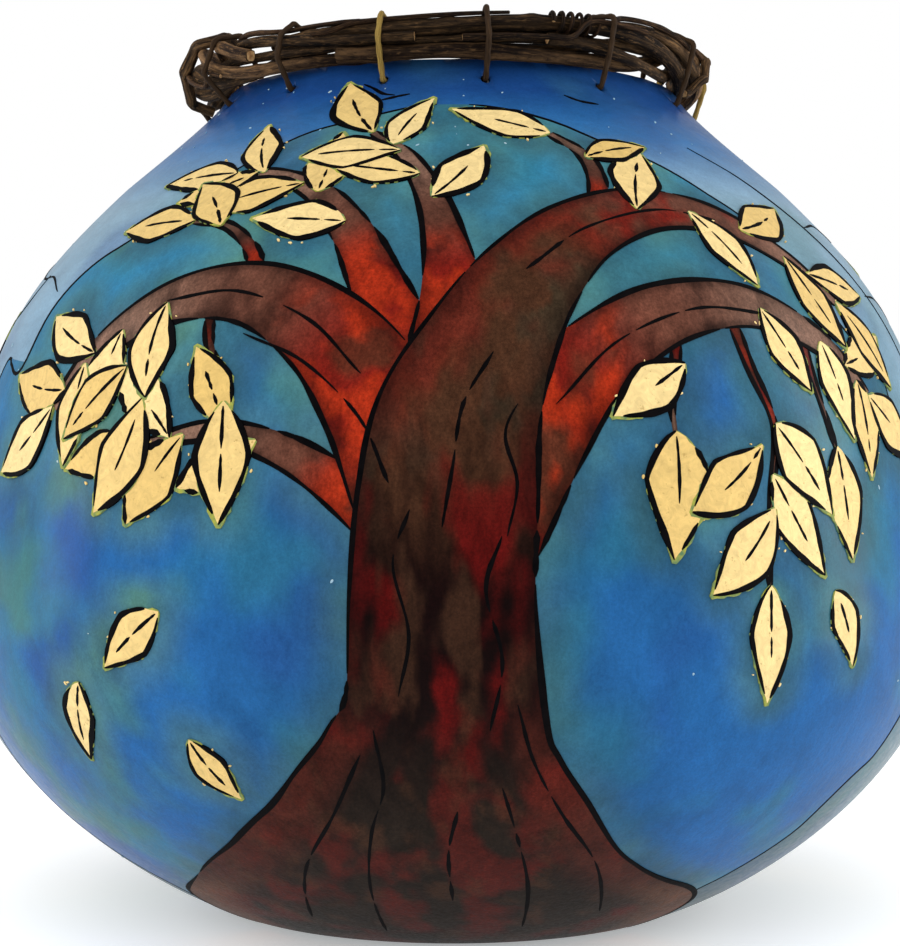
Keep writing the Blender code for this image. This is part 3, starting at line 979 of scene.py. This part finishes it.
# thin twig lines on the sides
sideLines = [
    [(-57, 172), (-63, 177), (-70, 178), (-78, 184)],
    [(-66, 178), (-70, 170), (-77, 166)],
    [(-64, 142), (-71, 146), (-78, 145), (-86, 150)],
    [(44, 210), (53, 200), (60, 187), (66, 168), (70, 146)],
    [(59, 190), (67, 192), (74, 189)],
    [(64, 172), (72, 172), (80, 166)],
]
sideInk = []
for line in sideLines:
    path = drawnPath([(a, h, 1) for a, h in line], 0.002)
    sideInk.append(inkStroke(path[:, :2], 0.0009 if len(line) > 4 else 0.00075, layers["panelLine"], rng, 0.3))
joinSlabs("side_lines", sideInk, blackPaint, "black_line")
print("panel ready")


# colours of the painted bark

bark = {
    "rootDark": colour(29, 22, 17),
    "rootRed": colour(70, 20, 15),
    "rootBrown": colour(58, 36, 24),
    "rootTip": colour(112, 70, 48),
    "rootEdge": colour(96, 38, 27),
    "trunkDark": colour(14, 3, 3),
    "trunkRed": colour(84, 9, 8),
    "trunkBrown": colour(62, 37, 23),
    "trunkOlive": colour(48, 40, 28),
    "boughRed": colour(104, 20, 12),
    "ember": colour(150, 40, 15),
    "boughBrown": colour(88, 52, 40),
    "boughGrey": colour(112, 84, 70),
    "shade": colour(12, 4, 4),
}


def barkColours(s):
    points, side, share, tag = s["points"], s["side"], s["share"], s["tag"][0]
    height = points[:, 2]
    patchA, patchB = cloud(points * np.array([1, 1, 0.5]), 0.014, 2), cloud(points * np.array([1, 1, 0.3]), 0.008, 6)
    patchC = cloud(points * np.array([1, 1, 0.7]), 0.011, 14)
    if tag == 1:
        base = blend(bark["rootDark"], bark["trunkDark"], smooth(0.035, 0.08, height))
        base = blend(base, bark["trunkBrown"], smooth(0.095, 0.13, height))
        base = blend(base, bark["trunkOlive"], 0.8 * smooth(0.11, 0.13, height) * smooth(0.48, 0.62, patchC))
        base = blend(base, bark["boughRed"],
                     0.55 * smooth(0.12, 0.15, height) * smooth(0.2, 0.8, side * 0.5 + patchC - 0.15))
        base = blend(base, bark["rootRed"], 0.8 * smooth(0.47, 0.67, patchA) * smooth(0.075, 0.05, height))
        base = blend(base, bark["rootEdge"], 0.4 * smooth(0.5, 0.85, np.abs(side))
                     * smooth(0.012, 0.03, height) * smooth(0.085, 0.06, height))
        low, high = smooth(0.045, 0.07, height), smooth(0.15, 0.11, height)
        base = blend(base, bark["trunkDark"], 0.55 * low * high * smooth(0.35, 0.6, patchB))
        base = blend(base, bark["trunkRed"], 0.85 * smooth(0.50, 0.75, patchA) * low * high)
        base = blend(base, bark["boughRed"], 0.85 * smooth(0.70, 0.76, share) * smooth(0.36, 0.6, patchA))
        base = blend(base, bark["boughBrown"], smooth(0.72, 0.84, share) * smooth(0.7, 0.4, patchA))
        base = blend(base, bark["boughGrey"], smooth(0.86, 0.97, share))
        base = blend(base, bark["rootBrown"], 0.6 * smooth(0.55, 0.8, patchB) * smooth(0.9, 0.7, share))
        base = blend(base, bark["rootTip"], 0.6 * smooth(0.026, 0.014, height) * smooth(0.66, 0.9, np.abs(side)))
    else:
        base = blend(bark["boughRed"], bark["boughBrown"], smooth(0.28, 0.5, share))
        base = blend(base, bark["boughGrey"], smooth(0.5, 0.8, share))
        base = blend(base, bark["trunkBrown"], 0.8 * smooth(0.5, 0.72, patchA) * smooth(0.55, 0.2, share))
        base = blend(base, bark["ember"],
                     0.8 * smooth(0.47, 0.62, patchC) * smooth(0.02, 0.15, share) * smooth(0.5, 0.32, share))
        base = blend(base, bark["trunkDark"], 0.5 * smooth(0.58, 0.8, patchB))
    if tag == 3:
        base = blend(base, bark["shade"], np.full(len(points), 0.35))
    atRoots = smooth(0.085, 0.05, height) if tag == 1 else 0.0
    return blend(base, bark["shade"], (0.62 - 0.45 * atRoots) * smooth(0.55, 1.0, np.abs(side)))


joinSlabs("painted_tree", limbSlabs, barkPaint, "bark_paint", np.concatenate([barkColours(s) for s in limbSlabs]))
joinSlabs("tree_lines", limbInk, blackPaint, "black_line")

goldTones = (colour(206, 172, 100), colour(226, 199, 138))
goldColours = np.concatenate([
    blend(goldTones[0], goldTones[1], np.full(len(s["points"]), leafTones[int(s["tag"][0])])) for s in leafSlabs])
joinSlabs("leaf_size_edges", sizeSlabs, sizePaint, "painted_gourd")
joinSlabs("gold_leaves", leafSlabs, goldLeaf, "gold_leaf", goldColours)
joinSlabs("leaf_lines", leafInk, blackPaint, "black_line")
print("tree ready:", len(leafSpecs), "leaves")


# stray flecks and small strokes left by the painter

marks = {
    "neckFlecks": 46,
    "bodyFlecks": 60,
    "strokes": [
        [(-19, 226), (-16.5, 224.5), (-14, 222.6), (-11.5, 222)],
        [(-14, 220.5), (-11, 221.5), (-8.5, 222.2)],
        [(23, 223), (26, 221.5), (30, 221)],
    ],
}
fleckSlabs, strokeSlabs = [], []
for i in range(marks["neckFlecks"] + marks["bodyFlecks"]):
    onNeck = i < marks["neckFlecks"]
    azimuth = rng.gauss(-8, 45) if onNeck else rng.uniform(0, 360)
    height = rng.uniform(0.205, 0.229) if onNeck else rng.uniform(0.02, 0.2)
    size = rng.uniform(0.0002, 0.0007)
    fleck = leafPath(azimuth, alongAt(height), rng.uniform(0, 360), size * rng.uniform(1.2, 2.6), 0, size)[::6]
    fleckSlabs.append(slab(fleck, layers["panelLine"], 2))
for line in marks["strokes"]:
    path = drawnPath([(a, h, 1) for a, h in line], 0.0012)
    strokeSlabs.append(inkStroke(path[:, :2], 0.0011, layers["panelLine"], rng, 0.4))
joinSlabs("pale_flecks", fleckSlabs, flecks, "gold_leaf")
joinSlabs("neck_strokes", strokeSlabs, blackPaint, "black_line")


# the vine rim

ring = {
    "radius": 0.0690,
    "shift": 0.0010,
    "offset": 0.0032,
    "seat": 0.0002,           # height of the lowest vine's middle over the cut edge at the left
    "tilt": 0.0012,           # how much higher it is at the right
    "sideways": 0.5,          # how much of each spread goes sideways
    "turns": 3,
    "sway": 1.3,
    "spreads": {-80: (0.85, 30), 47: (0.62, 38), 168: (0.5, 24)},
    "paleStems": ("vine_lower", "vine_inner_lower"),
}
vines = {
    "vine_lower": (-70, 0.00200, -25, 312),
    "vine_middle": (2, 0.00160, 20, 352),
    "vine_top": (74, 0.00205, -44, 294),
    "vine_inner_top": (146, 0.00170, 96, 434),
    "vine_inner_lower": (218, 0.00180, 152, 488),
}
curls = {
    "curl_left": (0.0017, -68, -87, 160, -72),
    "curl_right": (0.0014, 88, 67, 150, -70),
}
tendrils = {
    "tendril_front": ("vine_top", 21.0, 31.5, 5),
    "tendril_back": ("vine_inner_top", 160.0, 173.0, 4),
}


def spreadAt(azimuth):
    wider = 1.0
    for middle, (height, width) in ring["spreads"].items():
        apart = (azimuth - middle + 180) % 360 - 180
        wider += height * math.exp(-((apart / width) ** 2))
    return wider


def bundleMiddle(azimuth):
    sideways = math.sin(math.radians(azimuth))
    seat = ring["seat"] + ring["tilt"] * (0.5 + 0.5 * sideways)
    return Vector((ring["radius"] - ring["shift"] * sideways, rimHeight + seat + ring["offset"] * spreadAt(azimuth)))


def vinePlace(slot, azimuth):
    turn = math.radians(azimuth)
    angle = math.radians(slot) - ring["turns"] * turn + ring["sway"] * math.sin(2 * turn)
    upward = ring["offset"] * spreadAt(azimuth)
    outward = ring["offset"] * (1 + ring["sideways"] * (spreadAt(azimuth) - 1))
    return bundleMiddle(azimuth) + Vector((outward * math.cos(angle), upward * math.sin(angle)))


def roundPlace(place, azimuth):
    turn = math.radians(azimuth)
    return Vector((place[0] * math.sin(turn), -place[0] * math.cos(turn), place[1]))


def hullPoint(circles, angle):
    facing = Vector((math.cos(angle), math.sin(angle)))
    middle, radius = max(circles, key=lambda circle: circle[0].dot(facing) + circle[1])
    return middle + radius * facing


def bundleCircles(azimuth, grown):
    return [(vinePlace(slot, azimuth), radius + grown) for slot, radius, _, _ in vines.values()]


def stem(centres, radiusOf, sides, closed=False, tag=0.0):
    # a tube along centres; radiusOf(i, angle, metres along) gives its skin
    centres = [Vector(c) for c in centres]
    n = len(centres)
    lengths = [0.0]
    for a, b in zip(centres, centres[1:]):
        lengths.append(lengths[-1] + (b - a).length)
    frames, normal = [], None
    for i in range(n):
        before = centres[i - 1] if i or closed else centres[0]
        after = centres[(i + 1) % n] if i < n - 1 or closed else centres[-1]
        tangent = (after - before).normalized()
        if normal is None:
            normal = tangent.orthogonal().normalized()
        normal = (normal - tangent * normal.dot(tangent)).normalized()
        frames.append((tangent, normal, tangent.cross(normal)))
    twist = 0.0
    if closed:
        tangent, first, second = frames[0]
        end = frames[-1][1]
        twist = math.atan2(end.dot(second), end.dot(first)) / n
    vertices, places, faces = [], [], []
    for i, (tangent, first, second) in enumerate(frames):
        for k in range(sides):
            angle = 2 * math.pi * k / sides
            turned = angle - twist * i
            spoke = first * math.cos(turned) + second * math.sin(turned)
            vertices.append(centres[i] + spoke * radiusOf(i, angle, lengths[i]))
            places.append((lengths[i], angle, tag))
    for i in range(n if closed else n - 1):
        for k in range(sides):
            a, b = i * sides + k, i * sides + (k + 1) % sides
            c, d = (i + 1) % n * sides + (k + 1) % sides, (i + 1) % n * sides + k
            faces.append((a, b, c, d))
    capFaces = []
    if not closed:
        for i, flip in ((0, True), (n - 1, False)):
            tangent = frames[i][0] * (-1 if flip else 1)
            rim = [i * sides + k for k in range(sides)]
            inset = []
            for k in rim:
                inset.append(len(vertices))
                vertices.append(centres[i] + (vertices[k] - centres[i]) * 0.8 + tangent * 0.00015)
                places.append((lengths[i], 0.0, tag))
            heart = len(vertices)
            vertices.append(centres[i] + tangent * 0.0001)
            places.append((lengths[i], 0.0, tag))
            for k in range(sides):
                quad = (rim[k], inset[k], inset[(k + 1) % sides], rim[(k + 1) % sides])
                wedge = (inset[k], heart, inset[(k + 1) % sides])
                faces.append(quad[::-1] if not flip else quad)
                capFaces.append(len(faces))
                faces.append(wedge[::-1] if not flip else wedge)
    return {"vertices": vertices, "faces": faces, "places": places, "caps": capFaces}


def stemPiece(name, stems, materials, slotName, *nodes):
    vertices, faces, places, caps = [], [], [], []
    for s in stems:
        first, firstFace = len(vertices), len(faces)
        vertices += s["vertices"]
        faces += [tuple(i + first for i in f) for f in s["faces"]]
        places += s["places"]
        caps += [c + firstFace for c in s["caps"]]
    piece = addMesh(name, vertices, faces, materials, 60)
    for c in caps:
        piece.data.polygons[c].material_index = 1
    setVectors(piece.data, "barkPlace", places)
    finishPiece(piece, slotName, *nodes)
    return piece


def barkSkin(radius, total, seed, taper=0.12):
    # the skin of a dry vine: ridges that wind slowly, and a swelling at each joint
    local = random.Random(seed)
    joints = []
    at = local.uniform(0.008, 0.03)
    while at < total:
        joints.append((at, local.uniform(0.08, 0.2), local.uniform(0.0014, 0.003)))
        at += local.uniform(0.022, 0.05)
    phases = [local.uniform(0, 6.28) for _ in range(4)]

    def skin(i, angle, along):
        value = 1 - taper * along / total
        value += (0.055 * math.sin(4 * angle + 60 * along + phases[0])
                  + 0.035 * math.sin(7 * angle - 90 * along + phases[1]))
        value += 0.05 * math.sin(170 * along + phases[2]) * math.sin(2 * angle + phases[3])
        for place, height, width in joints:
            value += height * math.exp(-(((along - place) / width) ** 2))
        return radius * value

    return skin


def eased(centres):
    # each point drawn halfway towards its two neighbours
    middles = [(a + b * 2 + c) / 4 for a, b, c in zip(centres, centres[1:], centres[2:])]
    return [centres[0]] + middles + [centres[-1]]


def makeVines():
    for number, (name, (slot, radius, start, end)) in enumerate(vines.items()):
        count = round((end - start) / 0.95)
        centres = []
        for i in range(count + 1):
            azimuth = start + (end - start) * i / count
            place = vinePlace(slot, azimuth)
            wander = Vector((math.sin(azimuth * 0.13 + number), math.cos(azimuth * 0.17 + 2 * number)))
            centres.append(roundPlace(place + wander * 0.00022, azimuth))
        made = stem(centres, barkSkin(radius, 0.42, number + 1), 16, tag=number * 7.3)
        stemPiece(name + "_bark", [made], [paleVineBark if name in ring["paleStems"] else vineBark, cutWood],
                  "vine_bark", name)
    centres = [roundPlace(bundleMiddle(a), a) for a in np.linspace(205, 548, 300)]
    stemPiece("vine_core_bark", [stem(centres, barkSkin(0.0013, 0.42, 9), 10, tag=60.1)], [vineBark, cutWood],
              "vine_bark", "vine_core")


def makeCurls():
    for number, (name, (radius, start, end, firstAngle, lastAngle)) in enumerate(curls.items()):
        centres = []
        for share in np.linspace(0, 1, 44):
            azimuth = start + (end - start) * share
            angle = math.radians(firstAngle + (lastAngle - firstAngle) * share)
            centres.append(roundPlace(hullPoint(bundleCircles(azimuth, radius + 0.0002), angle), azimuth))
        for _ in range(3):                       # slack rounds the corners
            centres = eased(centres)
        made = stem(centres, barkSkin(radius, 0.05, 20 + number), 16, tag=80 + number)
        stemPiece(name + "_bark", [made], [vineBark, cutWood], "vine_bark", name)


def makeTendrils():
    for number, (name, (vine, start, end, wraps)) in enumerate(tendrils.items()):
        slot, radius = vines[vine][:2]
        centres = []
        for share in np.linspace(0, 1, wraps * 22):
            azimuth = start + (end - start) * share
            angle = 2 * math.pi * wraps * share
            reach = radius + 0.0007
            centres.append(
                roundPlace(vinePlace(slot, azimuth) + reach * Vector((math.cos(angle), math.sin(angle))), azimuth))
        made = stem(centres, barkSkin(0.0006, 0.09, 30 + number, 0.25), 8, tag=100 + number)
        stemPiece(name + "_bark", [made], [shootBark, cutWood], "vine_bark", name)


# thin shoots that lie along the bundle: angle round it at each end, azimuths, radius
shoots = [
    (100, 60, -62, -20, 0.0008), (40, 85, -30, 12, 0.0007), (-20, 30, 2, 44, 0.0009), (70, 20, 36, 78, 0.0008),
    (10, -40, -96, -58, 0.0009), (120, 150, 60, 110, 0.0008), (30, 80, 104, 150, 0.0009), (-10, 50, 170, 215, 0.0008),
    (80, 30, 200, 248, 0.0009), (150, 120, -50, -8, 0.0008),
]


def shootPlace(shoot, azimuth):
    firstAngle, lastAngle, start, end, radius = shoot
    share = (azimuth - start) / (end - start)
    angle = math.radians(firstAngle + (lastAngle - firstAngle) * share)
    return hullPoint(bundleCircles(azimuth, radius), angle)


def makeShoots():
    made = []
    for number, shoot in enumerate(shoots):
        start, end, radius = shoot[2:]
        centres = [roundPlace(shootPlace(shoot, a), a) for a in np.linspace(start, end, 46)]
        for _ in range(6):
            centres = eased(centres)
        made.append(stem(centres, barkSkin(radius, 0.06, 50 + number, 0.3), 9, tag=120 + number))
    stemPiece("thin_shoots", made, [shootBark, cutWood], "vine_bark")


makeVines()
makeCurls()
makeTendrils()
makeShoots()
print("vines ready")


# ties

def neckCircles(grown):
    holeHeight = rimHeight - ties["holeBelowRim"]
    inner = [gourd["rimRadius"] - gourd["wall"] + lean for lean in (0.0012, 0.0006, 0)]
    heights = (holeHeight + 0.002, holeHeight + 0.004, rimHeight)
    beside = [(Vector((r, z)), grown) for r, z in zip(inner, heights)]
    outR = float(radiusAt(alongAt(holeHeight)))
    mouths = (outR + grown - ties["bend"], outR - gourd["wall"] - grown + ties["bend"])
    mouthCircles = [(Vector((r, holeHeight + ties["bend"])), ties["bend"]) for r in mouths]
    return [*beside, (Vector((gourd["rimRadius"], rimHeight)), grown), *mouthCircles]


def tieSkin(i, angle, along):
    # two plies twisted together
    return ties["radius"] * (0.8 + 0.22 * abs(math.cos(angle + 2 * math.pi * along / ties["plyLength"] / 2)))


def makeTies():
    grown = ties["radius"]
    for number, azimuth in enumerate(ties["azimuths"], start=1):
        circles = bundleCircles(azimuth, grown) + neckCircles(grown)
        for shoot in shoots:
            for shifted in (azimuth - 360, azimuth):
                if shoot[2] <= shifted <= shoot[3]:
                    circles.append((shootPlace(shoot, shifted), shoot[4] + grown))
        places = [hullPoint(circles, 2 * math.pi * i / 180) for i in range(180)]
        points = [roundPlace(p, azimuth) for p in places]
        # even steps round the loop
        closed = points + [points[0]]
        lengths = np.concatenate([[0], np.cumsum([(b - a).length for a, b in zip(closed, closed[1:])])])
        grid = np.array(closed)
        at = np.linspace(0, lengths[-1], ties["pointsRound"], endpoint=False)
        centres = np.stack([np.interp(at, lengths, grid[:, k]) for k in range(3)], axis=1)
        made = [stem(centres, tieSkin, ties["sides"], closed=True, tag=200 + number)]
        fibre = tieFibre if number in ties["pale"] else darkFibre
        stemPiece(f"tie_{number:02d}_thread", made, [fibre, fibre], "tie_fibre", f"tie_{number:02d}")


makeTies()
print("ties ready")
